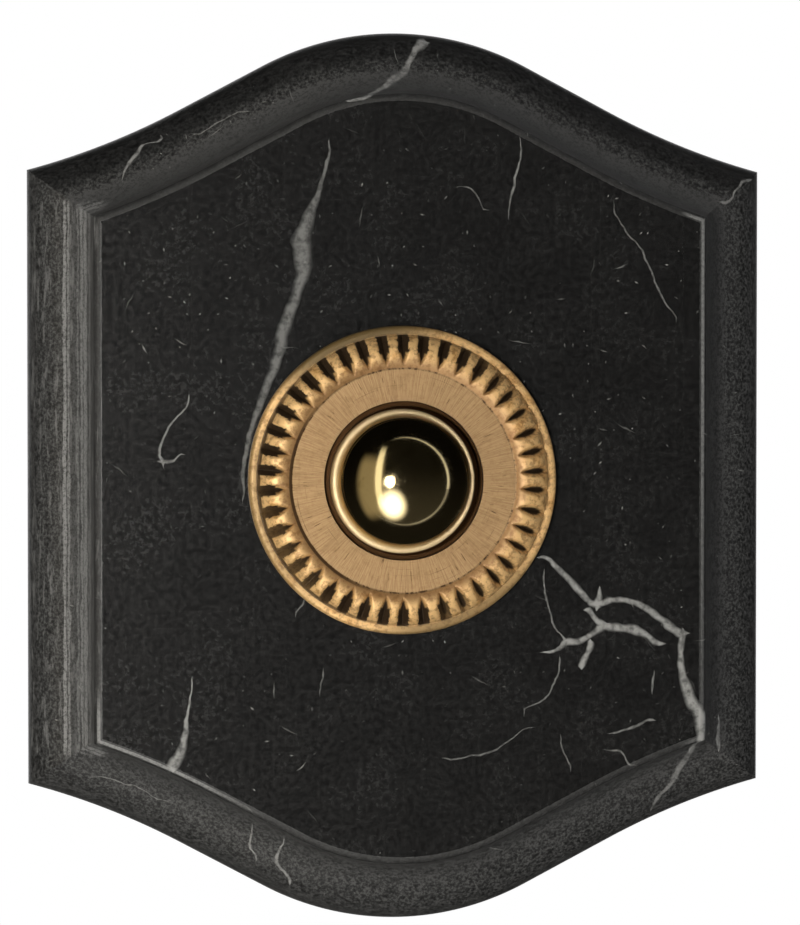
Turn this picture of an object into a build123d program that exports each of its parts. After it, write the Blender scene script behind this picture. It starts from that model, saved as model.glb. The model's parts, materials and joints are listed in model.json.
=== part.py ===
from build123d import *
from math import asin, atan2, cos, radians, sin, tan
import os

# Doorbell push: a black marble plate with an ogee border carries a brass rose with a gadrooned
# rim, and a domed button slides in the rose and presses a contact leaf behind the stone.
# Millimetres. +X is right, +Z is up, the front faces -Y and the origin is the middle of the
# back, on the wall. A depth is a distance out from the wall.

os.makedirs("parts", exist_ok=True)

# Marble plate
plate_width = 78.0
plate_height = 94.4
plate_thickness = 20.0
crown_radius = 29.7  # round at the middle of the top and bottom edges
crown_angle = 28.0  # slope where the crown ends, degrees
slope_run = 9.1  # straight run between the crown and the hollow
hollow_radius = 76.8  # hollow curve that runs out to each corner
border_width = 7.8  # ogee moulding, from the outline to the flat field
ogee_angle = 25.0  # slope where the round of the ogee turns into the hollow, degrees
ogee_round_radius = 6.4
quirk_depth = 0.4  # small step above the ogee
arris_radius = 0.7  # eased edge of the field
back_chamfer = 0.6
pocket_radius = 21.0  # space for nut, contacts and wires in the back
stone_web = 7.0  # stone left between the field and the pocket
stud_hole_radius = 2.75
stud_hole_depth = 10.0
stud_inset = 15.2  # stud centre below the top of the crown

# Push button and its travel
push_radius = 6.4
dome_radius = 8.4  # curve of the button's face
push_travel = 2.0
push_skirt_length = 3.0  # straight guide below the dome
push_flange_overlap = 0.8  # how far the flange reaches behind the lip
push_flange_thickness = 1.2
stem_radius = 1.5
spigot_radius = 0.95  # stem end that holds the insulating tip
spigot_length = 0.6

# Rose
rose_radius = 16.0
rim_land = 0.9  # plain edge outside the gadroons
rim_height = 1.2
rim_round = 0.5
gadroon_count = 42
gadroon_width = 3.5
gadroon_bulge = 1.2
flute_angle = 70.0  # of the cut between two gadroons, degrees
flute_tilt = 6.0  # the cut runs out towards the flat ring by this much, degrees
dish_height = 3.0  # flat ring inside the gadroons, above the stone
groove_width = 0.5
groove_depth = 0.6
bead_width = 1.2
bead_height = 0.75  # top of the bead above the flat ring
lip_thickness = 1.5
socket_web = 0.8  # metal between the groove and the barrel end let into the rose
gasket_thickness = 0.5
gasket_outer_margin = 1.8  # rim of the rose that bears on the stone outside the gasket
gasket_inner_margin = 0.95

# Barrel and clamp
barrel_wall = 1.5
washer_width = 6.0
fibre_thickness = 0.8
clamp_washer_thickness = 0.8
nut_wall = 2.95
nut_thickness = 3.0
nut_chamfer_width = 1.6
nut_chamfer_height = 0.8
barrel_tail = 2.4  # thread past the nut, which carries the contact cap

# Guide bush and return spring
bush_thickness = 3.0
bush_boss_radius = 2.6
bush_back_gap = 0.2  # between the bush and the insulating tip
spanner_slot_width = 1.6
spanner_slot_depth = 1.0
spring_wire = 0.7
spring_clearance = 0.75  # between the spring and the boss inside it
spring_half_turns = 10
wire_sides = 6  # the round wire is drawn with few faces

# Contacts and terminals
cap_wall = 2.0
cap_floor = 2.4
cap_skirt = 2.2
grip_count = 12  # finger notches round the cap
grip_radius = 0.9
barrier_width = 1.2
barrier_height = 1.8
foot_clearance = 0.9  # between a contact strip and the barrel
strip_thickness = 0.3
strip_width = 3.4
strip_margin = 2.0  # strip beyond the terminal, both ways
leaf_gap = 0.3  # between the tip and the leaf when the button is out
leaf_reach = 2.3  # free end beyond the middle
leaf_knee = 0.8  # bend beyond the middle
point_radius = 0.9  # raised contact point
point_height = 0.3
point_taper = 30.0  # degrees
tip_radius = 2.0
tip_thickness = 1.05
screw_radius = 1.25
screw_head_radius = 2.3
screw_head_height = 1.6
screw_slot_width = 0.6
screw_slot_depth = 0.7
screw_slot_turn = 20.0  # degrees
screw_end = 0.3  # thread that shows past its nut
terminal_washer_radius = 2.6
terminal_washer_thickness = 0.5
terminal_nut_flats = 3.6
terminal_nut_thickness = 1.3

# Clearances
running_clearance = 0.1  # button in lip and stem in bush
flange_clearance = 0.3
thread_clearance = 0.05
hole_clearance = 0.3  # barrel in the stone
contact_gap = 0.05  # faces that only just meet
cut_margin = 5.0  # how far cutting tools pass outside the stone

# Depths along the axis
gasket_front = plate_thickness + gasket_thickness
dish_depth = plate_thickness + dish_height
barrel_front = dish_depth - groove_depth - socket_web
bead_top = dish_depth + bead_height
lip_back = bead_top - lip_thickness
flange_front = lip_back - running_clearance
flange_back = flange_front - push_flange_thickness
dome_base = flange_front + push_skirt_length
dome_edge = asin(push_radius / dome_radius)  # slope of the face at its edge
dome_top = dome_base + dome_radius * (1 - cos(dome_edge))
pocket_floor = plate_thickness - stone_web
fibre_back = pocket_floor - fibre_thickness
clamp_back = fibre_back - clamp_washer_thickness
nut_back = clamp_back - nut_thickness
barrel_end = nut_back - barrel_tail
cap_back = barrel_end - cap_floor
strip_top = barrel_end + strip_thickness
point_top = strip_top + point_height
leaf_top = point_top + contact_gap + strip_thickness + push_travel - leaf_gap
tip_back = leaf_top + leaf_gap
stem_end = tip_back + tip_thickness - spigot_length
bush_back = tip_back + tip_thickness + bush_back_gap
bush_front = bush_back + bush_thickness
boss_front = flange_back - push_travel - running_clearance
terminal_nut_front = strip_top + terminal_nut_thickness
terminal_washer_back = cap_back - terminal_washer_thickness
screw_back = terminal_washer_back - screw_head_height
screw_front = terminal_nut_front + screw_end

# Radii about the axis
lip_radius = push_radius + running_clearance
push_flange_radius = push_radius + push_flange_overlap
bore_radius = push_flange_radius + flange_clearance
barrel_radius = bore_radius + barrel_wall
threaded_hole_radius = barrel_radius + thread_clearance
stone_hole_radius = barrel_radius + hole_clearance
gadroon_outer = rose_radius - rim_land
gadroon_inner = gadroon_outer - gadroon_width
bead_outer = lip_radius + bead_width
gasket_outer = rose_radius - gasket_outer_margin
gasket_inner = threaded_hole_radius + gasket_inner_margin
washer_outer = barrel_radius + washer_width
cap_radius = threaded_hole_radius + cap_wall
nut_flats = 2 * (threaded_hole_radius + nut_wall)
nut_corner_radius = nut_flats / 2 / cos(radians(30))
stem_hole_radius = stem_radius + running_clearance
spring_radius = bush_boss_radius + spring_clearance + spring_wire / 2
foot_outer = bore_radius - foot_clearance
terminal_offset = foot_outer - strip_margin
foot_inner = terminal_offset - strip_margin

# Half of the plate's top edge, from the middle of the crown to the right corner
crown_slope = radians(crown_angle)
crown_end = (crown_radius * sin(crown_slope), plate_height / 2 - crown_radius * (1 - cos(crown_slope)))
slope_end = (crown_end[0] + slope_run, crown_end[1] - slope_run * tan(crown_slope))
corner_slope = asin(sin(crown_slope) - (plate_width / 2 - slope_end[0]) / hollow_radius)
corner = (plate_width / 2, slope_end[1] - hollow_radius * (cos(corner_slope) - cos(crown_slope)))
corner_run_out = (corner[0] + 2 * cut_margin, corner[1] - 2 * cut_margin * tan(corner_slope))

# A sketch on this plane has the radius along x and the depth along y
turning_plane = Plane(origin=(0, 0, 0), x_dir=(1, 0, 0), z_dir=(0, 0, -1))
terminal_places = [(-terminal_offset, 0), (terminal_offset, 0)]


def depth_plane(depth):
    """Plane facing the viewer at a distance out from the wall."""
    return Plane.XZ.offset(depth)


def half_top_edge():
    """Crown, slope and hollow, drawn in the open line block."""
    crown_middle = (crown_radius * sin(crown_slope / 2),
                    plate_height / 2 - crown_radius * (1 - cos(crown_slope / 2)))
    ThreePointArc((0, plate_height / 2), crown_middle, crown_end)
    Line(crown_end, slope_end)
    TangentArc(slope_end, corner, tangent=(cos(crown_slope), -sin(crown_slope)))


def ogee_waste():
    """Section of the stone cut away at the border: x runs inwards, y is the depth."""
    turn = radians(ogee_angle)
    quirk = border_width - arris_radius
    hollow = quirk / (1 - sin(turn)) - ogee_round_radius
    ogee_top = plate_thickness - arris_radius - quirk_depth
    round_start = ogee_top - (hollow + ogee_round_radius) * cos(turn)
    inflection = (ogee_round_radius * (1 - sin(turn)), round_start + ogee_round_radius * cos(turn))
    arris_middle = (border_width - arris_radius * sin(radians(45)),
                    plate_thickness - arris_radius * (1 - cos(radians(45))))
    with BuildLine() as waste:
        TangentArc((0, round_start), inflection, tangent=(0, 1))
        TangentArc(inflection, (quirk, ogee_top), tangent=(cos(turn), sin(turn)))
        Line((quirk, ogee_top), (quirk, plate_thickness - arris_radius))
        ThreePointArc((quirk, plate_thickness - arris_radius), arris_middle, (border_width, plate_thickness))
        Polyline((border_width, plate_thickness), (border_width, plate_thickness + cut_margin),
                 (-cut_margin, plate_thickness + cut_margin), (-cut_margin, round_start), (0, round_start))
    return waste.edges()


def turned_ring(inner, outer, back, front):
    """Plain turned ring between two depths."""
    with BuildPart() as ring:
        with BuildSketch(depth_plane(back)):
            Circle(outer)
            Circle(inner, mode=Mode.SUBTRACT)
        extrude(amount=front - back)
    return ring.part


# Marble plate: the moulding is cut along the sides and along the curved ends, and the cuts mitre
# where they cross at the corners.
with BuildPart() as end_cutter:
    with BuildLine(Plane.XZ) as end_path:
        half_top_edge()
        Line(corner, corner_run_out)
    with BuildSketch(Plane(origin=(0, 0, plate_height / 2), x_dir=(0, 0, -1), z_dir=(-1, 0, 0))):
        make_face(ogee_waste())
    sweep(path=end_path.line)

with BuildPart() as side_cutter:
    with BuildSketch(Plane(origin=(plate_width / 2, 0, -plate_height / 2), x_dir=(-1, 0, 0), z_dir=(0, 0, 1))):
        make_face(ogee_waste())
    extrude(amount=plate_height)

with BuildPart() as marble_plate:
    with BuildSketch(depth_plane(0)):
        with BuildLine():
            half_top_edge()
            Line(corner, (corner[0], 0))
            mirror(about=Plane.XZ)
            mirror(about=Plane.YZ)
        make_face()
    extrude(amount=plate_thickness)
    right_cutters = [end_cutter.part, end_cutter.part.mirror(Plane.XY), side_cutter.part]
    add(right_cutters, mode=Mode.SUBTRACT)
    add([cutter.mirror(Plane.YZ) for cutter in right_cutters], mode=Mode.SUBTRACT)
    chamfer(faces().sort_by(Axis.Y)[-1].edges(), length=back_chamfer)
    with BuildSketch(depth_plane(0)):
        Circle(pocket_radius)
    extrude(amount=pocket_floor, mode=Mode.SUBTRACT)
    with BuildSketch(depth_plane(0)):
        Circle(stone_hole_radius)
    extrude(amount=plate_thickness, mode=Mode.SUBTRACT)
    with BuildSketch(depth_plane(0)):
        with Locations((0, plate_height / 2 - stud_inset), (0, stud_inset - plate_height / 2)):
            Circle(stud_hole_radius)
    extrude(amount=stud_hole_depth, mode=Mode.SUBTRACT)
marble_plate.part.label = "marble_plate"
export_step(marble_plate.part, "parts/marble_plate.step")

# Rose: one casting, turned all over, with flutes cut across the rim between the gadroons.
gadroon_foot = Vector(gadroon_outer, plate_thickness + rim_height)
gadroon_end = Vector(gadroon_inner, dish_depth)
gadroon_chord = gadroon_end - gadroon_foot
bead_middle = lip_radius + bead_width / 2
bead_foot = bead_top - bead_width / 2

with BuildPart() as flute:
    flute_top = 2 * gadroon_bulge
    flute_half_width = flute_top * tan(radians(flute_angle / 2))
    flute_plane = Plane(origin=turning_plane.from_local_coords(gadroon_foot), x_dir=(0, 0, -1),
                        z_dir=(gadroon_chord.X, -gadroon_chord.Y, 0)).rotated((-flute_tilt, 0, 0))
    with BuildSketch(flute_plane):
        with BuildLine():
            Polyline((0, 0), (flute_half_width, flute_top), (-flute_half_width, flute_top), (0, 0))
        make_face()
    extrude(amount=gadroon_chord.length)

with BuildPart() as rose:
    with BuildSketch(turning_plane):
        with BuildLine():
            Polyline((lip_radius, bead_foot), (lip_radius, lip_back), (bore_radius, lip_back),
                     (bore_radius, barrel_front), (threaded_hole_radius, barrel_front),
                     (threaded_hole_radius, plate_thickness), (gasket_inner, plate_thickness),
                     (gasket_inner, gasket_front), (gasket_outer, gasket_front),
                     (gasket_outer, plate_thickness), (rose_radius, plate_thickness),
                     (rose_radius, gadroon_foot.Y - rim_round))
            ThreePointArc((rose_radius, gadroon_foot.Y - rim_round),
                          (rose_radius - rim_round * (1 - sin(radians(45))),
                           gadroon_foot.Y - rim_round * (1 - sin(radians(45)))),
                          (rose_radius - rim_round, gadroon_foot.Y))
            Line((rose_radius - rim_round, gadroon_foot.Y), gadroon_foot)
            SagittaArc(gadroon_foot, gadroon_end, -gadroon_bulge)
            Polyline(gadroon_end, (bead_outer + groove_width, dish_depth),
                     (bead_outer + groove_width, dish_depth - groove_depth),
                     (bead_outer, dish_depth - groove_depth), (bead_outer, bead_foot))
            ThreePointArc((bead_outer, bead_foot), (bead_middle, bead_top), (lip_radius, bead_foot))
        make_face()
    revolve(axis=Axis.Y)
    flutes = [flute.part.rotate(Axis.Y, 360 * step / gadroon_count) for step in range(gadroon_count)]
    add(flutes, mode=Mode.SUBTRACT)
rose.part.label = "rose"
export_step(rose.part, "parts/rose.step")

rose_gasket = turned_ring(gasket_inner + contact_gap, gasket_outer - contact_gap, plate_thickness, gasket_front)
rose_gasket.label = "rose_gasket"
export_step(rose_gasket, "parts/rose_gasket.step")

# Barrel: threaded tube from the rose through the stone.
barrel = turned_ring(bore_radius, barrel_radius, barrel_end, barrel_front)
barrel.label = "barrel"
export_step(barrel, "parts/barrel.step")

# Clamp behind the stone: fibre washer, brass washer and thin hexagon nut.
fibre_washer = turned_ring(threaded_hole_radius, washer_outer, fibre_back, pocket_floor)
fibre_washer.label = "fibre_washer"
export_step(fibre_washer, "parts/fibre_washer.step")

clamp_washer = turned_ring(threaded_hole_radius, washer_outer, clamp_back, fibre_back)
clamp_washer.label = "clamp_washer"
export_step(clamp_washer, "parts/clamp_washer.step")

with BuildPart() as clamp_nut:
    with BuildSketch(depth_plane(nut_back)):
        RegularPolygon(nut_flats / 2, 6, major_radius=False)
        Circle(threaded_hole_radius, mode=Mode.SUBTRACT)
    extrude(amount=nut_thickness)
    with BuildSketch(turning_plane):
        with BuildLine():
            Polyline((threaded_hole_radius, nut_back), (nut_corner_radius - nut_chamfer_width, nut_back),
                     (nut_corner_radius, nut_back + nut_chamfer_height), (nut_corner_radius, clamp_back),
                     (threaded_hole_radius, clamp_back), (threaded_hole_radius, nut_back))
        make_face()
    revolve(axis=Axis.Y, mode=Mode.INTERSECT)
clamp_nut.part.label = "clamp_nut"
export_step(clamp_nut.part, "parts/clamp_nut.step")

# Push button: dome, guide skirt, retaining flange and stem turned from one bar.
with BuildPart() as push_button:
    with BuildSketch(turning_plane):
        with BuildLine():
            ThreePointArc((0, dome_top),
                          (dome_radius * sin(dome_edge / 2), dome_top - dome_radius * (1 - cos(dome_edge / 2))),
                          (push_radius, dome_base))
            Polyline((push_radius, dome_base), (push_radius, flange_front),
                     (push_flange_radius, flange_front), (push_flange_radius, flange_back),
                     (stem_radius, flange_back), (stem_radius, tip_back + tip_thickness),
                     (spigot_radius, tip_back + tip_thickness), (spigot_radius, stem_end),
                     (0, stem_end), (0, dome_top))
        make_face()
    revolve(axis=Axis.Y)
push_button.part.label = "push_button"
export_step(push_button.part, "parts/push_button.step")

# Insulating tip on the end of the stem.
with BuildPart() as stem_tip:
    with BuildSketch(turning_plane):
        with BuildLine():
            Polyline((0, tip_back), (tip_radius, tip_back), (tip_radius, tip_back + tip_thickness),
                     (spigot_radius + contact_gap, tip_back + tip_thickness),
                     (spigot_radius + contact_gap, stem_end), (0, stem_end), (0, tip_back))
        make_face()
    revolve(axis=Axis.Y)
stem_tip.part.label = "stem_tip"
export_step(stem_tip.part, "parts/stem_tip.step")

# Guide bush: screwed into the barrel, it guides the stem, seats the spring and stops the flange.
with BuildPart() as guide_bush:
    with BuildSketch(turning_plane):
        with BuildLine():
            Polyline((stem_hole_radius, bush_back), (bore_radius - thread_clearance, bush_back),
                     (bore_radius - thread_clearance, bush_front), (bush_boss_radius, bush_front),
                     (bush_boss_radius, boss_front), (stem_hole_radius, boss_front),
                     (stem_hole_radius, bush_back))
        make_face()
    revolve(axis=Axis.Y)
    with BuildSketch(depth_plane(bush_back)):
        with Locations((-bore_radius, 0), (bore_radius, 0)):
            Rectangle(bore_radius, spanner_slot_width)
    extrude(amount=spanner_slot_depth, mode=Mode.SUBTRACT)
guide_bush.part.label = "guide_bush"
export_step(guide_bush.part, "parts/guide_bush.step")

# Return spring between the bush and the flange, at its length with the button out. Each half turn
# is a round arc on a plane that leans by the rise of that half turn.
spring_start = bush_front + spring_wire / 2 + contact_gap
spring_height = flange_back - spring_wire / 2 - contact_gap - spring_start
half_turn_rise = spring_height / spring_half_turns
half_turn_lean = atan2(half_turn_rise, 2 * spring_radius)
with BuildPart() as return_spring:
    for half_turn in range(spring_half_turns):
        side = 1 - 2 * (half_turn % 2)
        half_turn_start = spring_start + half_turn * half_turn_rise
        half_turn_axis = Axis((0, -half_turn_start - half_turn_rise / 2, 0),
                              (side * sin(half_turn_lean), -cos(half_turn_lean), 0))
        with BuildSketch(Plane(origin=(side * spring_radius, -half_turn_start, 0), z_dir=(0, 0, 1))):
            RegularPolygon(spring_wire / 2, wire_sides)
        revolve(axis=half_turn_axis, revolution_arc=180)
return_spring.part.label = "return_spring"
export_step(return_spring.part, "parts/return_spring.step")

# Contact cap: moulded, screwed on the end of the barrel by its finger notches, with a barrier
# between the terminals.
with BuildPart() as contact_cap:
    with BuildSketch(depth_plane(cap_back)):
        Circle(cap_radius)
        with PolarLocations(cap_radius, grip_count):
            Circle(grip_radius, mode=Mode.SUBTRACT)
    extrude(amount=cap_floor + cap_skirt)
    with BuildSketch(depth_plane(barrel_end)):
        Circle(threaded_hole_radius)
    extrude(amount=cap_skirt, mode=Mode.SUBTRACT)
    with BuildSketch(depth_plane(cap_back)):
        Rectangle(barrier_width, 2 * cap_radius - 2 * cap_wall)
    extrude(amount=-barrier_height)
    with BuildSketch(depth_plane(cap_back)):
        with Locations(terminal_places):
            Circle(screw_radius + running_clearance)
    extrude(amount=cap_floor, mode=Mode.SUBTRACT)
contact_cap.part.label = "contact_cap"
export_step(contact_cap.part, "parts/contact_cap.step")

# Contact leaf: springy strip from the right terminal to below the insulating tip.
with BuildPart() as contact_leaf:
    with BuildSketch(turning_plane):
        with BuildLine():
            Polyline((foot_outer, barrel_end), (foot_outer, strip_top), (foot_inner, strip_top),
                     (-leaf_knee, leaf_top), (-leaf_reach, leaf_top), (-leaf_reach, leaf_top - strip_thickness),
                     (-leaf_knee, leaf_top - strip_thickness), (foot_inner, barrel_end),
                     (foot_outer, barrel_end))
        make_face()
    extrude(amount=strip_width / 2, both=True)
    with BuildSketch(depth_plane(barrel_end)):
        with Locations((terminal_offset, 0)):
            Circle(screw_radius + running_clearance)
    extrude(amount=strip_thickness, mode=Mode.SUBTRACT)
contact_leaf.part.label = "contact_leaf"
export_step(contact_leaf.part, "parts/contact_leaf.step")

# Fixed contact: flat strip from the left terminal, with a raised point below the leaf.
with BuildPart() as fixed_contact:
    with BuildSketch(depth_plane(barrel_end)):
        with Locations((-foot_outer, 0)):
            Rectangle(foot_outer, strip_width, align=(Align.MIN, Align.CENTER))
        with Locations((-terminal_offset, 0)):
            Circle(screw_radius + running_clearance, mode=Mode.SUBTRACT)
    extrude(amount=strip_thickness)
    with BuildSketch(depth_plane(strip_top)):
        with Locations((point_radius - leaf_reach, 0)):
            Circle(point_radius)
    extrude(amount=point_height, taper=point_taper)
fixed_contact.part.label = "fixed_contact"
export_step(fixed_contact.part, "parts/fixed_contact.step")

# Terminals: a slotted screw, a washer and a nut for each contact.
with BuildPart() as terminal_nuts:
    with BuildSketch(depth_plane(strip_top)):
        with Locations(terminal_places):
            RegularPolygon(terminal_nut_flats / 2, 6, major_radius=False, rotation=30)
            Circle(screw_radius + thread_clearance, mode=Mode.SUBTRACT)
    extrude(amount=terminal_nut_thickness)
terminal_nuts.part.label = "terminal_nuts"
export_step(terminal_nuts.part, "parts/terminal_nuts.step")

with BuildPart() as terminal_washers:
    with BuildSketch(depth_plane(terminal_washer_back)):
        with Locations(terminal_places):
            Circle(terminal_washer_radius)
            Circle(screw_radius + running_clearance, mode=Mode.SUBTRACT)
    extrude(amount=terminal_washer_thickness)
terminal_washers.part.label = "terminal_washers"
export_step(terminal_washers.part, "parts/terminal_washers.step")

with BuildPart() as terminal_screws:
    with BuildSketch(depth_plane(screw_back)):
        with Locations(terminal_places):
            Circle(screw_head_radius)
    extrude(amount=screw_head_height)
    with BuildSketch(depth_plane(terminal_washer_back)):
        with Locations(terminal_places):
            Circle(screw_radius)
    extrude(amount=screw_front - terminal_washer_back)
    with BuildSketch(depth_plane(screw_back)):
        with Locations(terminal_places):
            Rectangle(screw_slot_width, 2 * screw_head_radius, rotation=screw_slot_turn)
    extrude(amount=screw_slot_depth, mode=Mode.SUBTRACT)
terminal_screws.part.label = "terminal_screws"
export_step(terminal_screws.part, "parts/terminal_screws.step")
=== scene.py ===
import bmesh
import bpy
import json
import numpy as np
from math import asin, atan2, cos, pi, radians, sin, tan
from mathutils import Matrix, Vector


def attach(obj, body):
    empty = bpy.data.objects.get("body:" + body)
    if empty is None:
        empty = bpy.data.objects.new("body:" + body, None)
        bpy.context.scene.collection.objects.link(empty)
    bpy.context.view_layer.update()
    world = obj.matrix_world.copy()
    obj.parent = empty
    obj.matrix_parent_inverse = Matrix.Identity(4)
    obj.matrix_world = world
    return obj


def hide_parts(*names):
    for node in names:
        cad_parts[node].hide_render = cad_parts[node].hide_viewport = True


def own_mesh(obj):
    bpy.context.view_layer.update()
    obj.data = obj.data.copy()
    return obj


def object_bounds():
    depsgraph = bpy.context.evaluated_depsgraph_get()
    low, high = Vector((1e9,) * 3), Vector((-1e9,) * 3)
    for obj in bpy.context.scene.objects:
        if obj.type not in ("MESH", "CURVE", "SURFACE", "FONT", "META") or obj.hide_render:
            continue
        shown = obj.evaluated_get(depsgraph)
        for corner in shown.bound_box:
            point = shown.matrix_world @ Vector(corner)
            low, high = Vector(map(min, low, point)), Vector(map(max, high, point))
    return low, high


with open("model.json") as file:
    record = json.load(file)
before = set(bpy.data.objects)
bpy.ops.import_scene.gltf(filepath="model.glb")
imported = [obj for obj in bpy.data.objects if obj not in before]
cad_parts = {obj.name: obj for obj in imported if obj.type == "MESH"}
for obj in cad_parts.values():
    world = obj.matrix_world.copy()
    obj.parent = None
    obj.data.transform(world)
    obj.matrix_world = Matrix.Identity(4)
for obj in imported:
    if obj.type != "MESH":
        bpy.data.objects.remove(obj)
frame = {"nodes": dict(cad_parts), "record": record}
cadLow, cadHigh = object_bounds()
nodes = frame["nodes"]
scene = bpy.context.scene
mm = 0.001
print("frame loaded,", len(nodes), "nodes")


# mesh helpers, in mm: depth is the distance out from the wall

def framePoint(x, depth, z):
    return (x * mm, -depth * mm, z * mm)


def turnedRing(bm, radius, depth, angles, height=0.0):  # angles from straight up
    return [bm.verts.new(framePoint(radius * sin(a), depth, height + radius * cos(a))) for a in angles]


def evenAngles(count):
    return [2 * pi * i / count for i in range(count)]


def arcPoints(centre, radius, start, end, steps):  # angles in degrees, ends included
    turns = [radians(start + (end - start) * i / steps) for i in range(steps + 1)]
    return [(centre[0] + radius * cos(turn), centre[1] + radius * sin(turn)) for turn in turns]


def joinRings(bm, rings):
    for ringA, ringB in zip(rings, rings[1:]):
        for i in range(len(ringA)):
            j = (i + 1) % len(ringA)
            bm.faces.new((ringA[i], ringA[j], ringB[j], ringB[i]))


def finishMesh(name, bm, sharp):
    bmesh.ops.remove_doubles(bm, verts=bm.verts, dist=1e-7)
    bmesh.ops.recalc_face_normals(bm, faces=bm.faces)
    mesh = bpy.data.meshes.new(name)
    bm.to_mesh(mesh)
    bm.free()
    mesh.shade_smooth()
    mesh.set_sharp_from_angle(angle=radians(sharp))
    piece = bpy.data.objects.new(name, mesh)
    scene.collection.objects.link(piece)
    return piece


def settle(piece, body, node):  # piece rides on its body and stands for its node
    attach(piece, body)
    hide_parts(node)


# node helpers

def plug(tree, value, socket):
    if isinstance(value, bpy.types.NodeSocket):
        tree.links.new(value, socket)
    else:
        socket.default_value = value


def addNode(tree, kind, inputs=None, **settings):
    made = tree.nodes.new("ShaderNode" + kind)
    for name, value in settings.items():
        setattr(made, name, value)
    for name, value in (inputs or {}).items():
        plug(tree, value, made.inputs[name])
    return made


def addMath(tree, operation, a, b=0.0, c=0.0):
    return addNode(tree, "Math", {0: a, 1: b, 2: c}, operation=operation).outputs[0]


def multiply(tree, a, b):
    return addMath(tree, "MULTIPLY", a, b)


def multiplyAdd(tree, a, b, c):
    return addMath(tree, "MULTIPLY_ADD", a, b, c)


def larger(tree, a, b):
    return addMath(tree, "MAXIMUM", a, b)


def addVector(tree, operation, a, b=(0, 0, 0)):
    made = addNode(tree, "VectorMath", {0: a, 1: b}, operation=operation)
    return made.outputs["Value" if operation in ("LENGTH", "DOT_PRODUCT") else "Vector"]


def splitAxes(tree, vector):
    return addNode(tree, "SeparateXYZ", {0: vector}).outputs


def towards(tree, point, way):  # mm from the axis along a direction
    return addVector(tree, "DOT_PRODUCT", point, way)


def addRange(tree, value, low, high, toLow=0.0, toHigh=1.0, smooth=True):
    ends = {"Value": value, "From Min": low, "From Max": high, "To Min": toLow, "To Max": toHigh}
    kind = "SMOOTHSTEP" if smooth else "LINEAR"
    return addNode(tree, "MapRange", ends, interpolation_type=kind).outputs["Result"]


def addBand(tree, value, ends, soft):  # 1 between the two ends
    return multiply(tree, addRange(tree, value, ends[0] - soft, ends[0]),
                    addRange(tree, value, ends[1] + soft, ends[1]))


def addMix(tree, share, a, b):
    return addNode(tree, "Mix", {0: share, 6: a, 7: b}, data_type="RGBA").outputs[2]


def addNoise(tree, point, scale, detail=3.0, rough=0.55):
    inputs = {"Vector": point, "Scale": scale, "Detail": detail, "Roughness": rough}
    return addNode(tree, "TexNoise", inputs).outputs["Fac"]


def readLayer(tree, name):  # a value kept on the mesh
    return addNode(tree, "Attribute", attribute_name=name).outputs["Fac"]


def startMaterial(name):
    material = bpy.data.materials.new(name)
    material.use_nodes = True
    tree = material.node_tree
    tree.nodes.clear()
    shader = addNode(tree, "BsdfPrincipled")
    addNode(tree, "OutputMaterial", {"Surface": shader.outputs["BSDF"]})
    place = addNode(tree, "TexCoord").outputs["Object"]
    point = addVector(tree, "MULTIPLY", place, (1 / mm, 1 / mm, 1 / mm))  # in mm
    return material, tree, shader, point


def dress(tree, shader, base, rough, metal=0.0):
    for name, value in (("Base Color", base), ("Roughness", rough), ("Metallic", metal)):
        plug(tree, value, shader.inputs[name])


def addBump(tree, shader, height, strength, distance=0.05):  # distance in mm
    bump = addNode(tree, "Bump", {"Height": height, "Strength": strength, "Distance": distance * mm})
    plug(tree, bump.outputs["Normal"], shader.inputs["Normal"])


def startGroup(name, inputs, outputs):
    group = bpy.data.node_groups.new(name, "ShaderNodeTree")
    for label, kind in inputs:
        group.interface.new_socket(label, in_out="INPUT", socket_type="NodeSocket" + kind)
    for label, kind in outputs:
        group.interface.new_socket(label, in_out="OUTPUT", socket_type="NodeSocket" + kind)
    return group, group.nodes.new("NodeGroupInput").outputs, group.nodes.new("NodeGroupOutput").inputs


def useGroup(tree, group, inputs):
    made = tree.nodes.new("ShaderNodeGroup")
    made.node_tree = group
    for name, value in inputs.items():
        plug(tree, value, made.inputs[name])
    return made.outputs


# shared effects

def makeTurningMarks():  # fine lines round the axis, or across it, by the two scales
    inputs = [("Point", "Vector"), ("Along Radius", "Float"), ("Round Axis", "Float")]
    tree, given, put = startGroup("turning marks", inputs, [("Marks", "Float")])
    flat = addVector(tree, "MULTIPLY", given["Point"], (1, 0, 1))
    around = splitAxes(tree, addVector(tree, "NORMALIZE", flat))
    depth = splitAxes(tree, given["Point"])["Y"]
    out = addMath(tree, "ADD", addVector(tree, "LENGTH", flat), depth)
    x, z = (multiply(tree, around[axis], given["Round Axis"]) for axis in "XZ")
    spot = addNode(tree, "CombineXYZ", {"X": x, "Y": multiply(tree, out, given["Along Radius"]), "Z": z})
    plug(tree, addNoise(tree, spot.outputs[0], 1.0, 4.0, 0.6), put["Marks"])
    return tree


def makeTarnish():  # soft blotches
    inputs = [("Point", "Vector"), ("Scale", "Float"), ("Share", "Float")]
    tree, given, put = startGroup("tarnish", inputs, [("Mask", "Float")])
    start, drop, soft = 0.75, 0.5, 0.22  # noise where blotches begin, how share lowers it, their edge
    wide = addNoise(tree, given["Point"], given["Scale"], 5.0, 0.6)
    low = addMath(tree, "SUBTRACT", start, multiply(tree, given["Share"], drop))
    plug(tree, addRange(tree, wide, low, addMath(tree, "ADD", low, soft)), put["Mask"])
    return tree


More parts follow.
